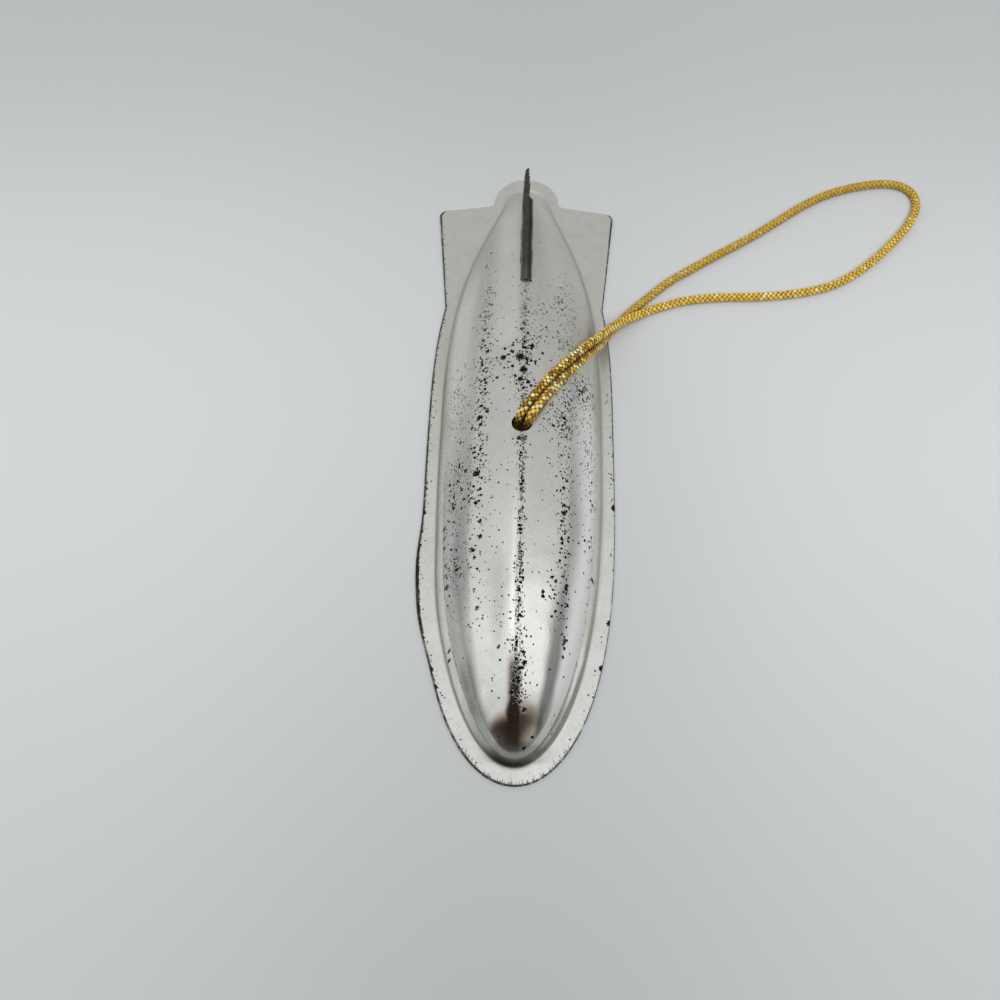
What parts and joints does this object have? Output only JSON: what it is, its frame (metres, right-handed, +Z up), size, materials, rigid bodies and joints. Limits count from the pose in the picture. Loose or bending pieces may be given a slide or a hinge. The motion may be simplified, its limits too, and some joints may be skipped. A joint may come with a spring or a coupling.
{
  "type": "airship tin ornament",
  "caption": "Hanging ornament pressed from tinplate as a ridged half airship hull with a flat rim, tailplanes, a folded fin and a braided metallic cord loop.",
  "frame": {"origin": "centre of the box of the tin pieces, on the surface that the flange's underside lies on", "axes": "+X across the hull, nose towards -Y and tail towards +Y, +Z up through the hull's top ridge"},
  "size_m": [0.0924, 0.1185, 0.0147],
  "materials": {
    "tinplate": "worn bright tinplate, matt towards the tail, black rust pits along the ridges and a rusty cut edge",
    "fin_tinplate": "worn tinplate, dark along the fold",
    "gold_cord": "glittering gold metallic braid"
  },
  "bodies": {
    "root": {"hull_shell": "tinplate", "vertical_fin": "fin_tinplate", "hanging_cord": "gold_cord", "cord_knot": "gold_cord", "cord_tails": "gold_cord"}
  },
  "joints": []
}
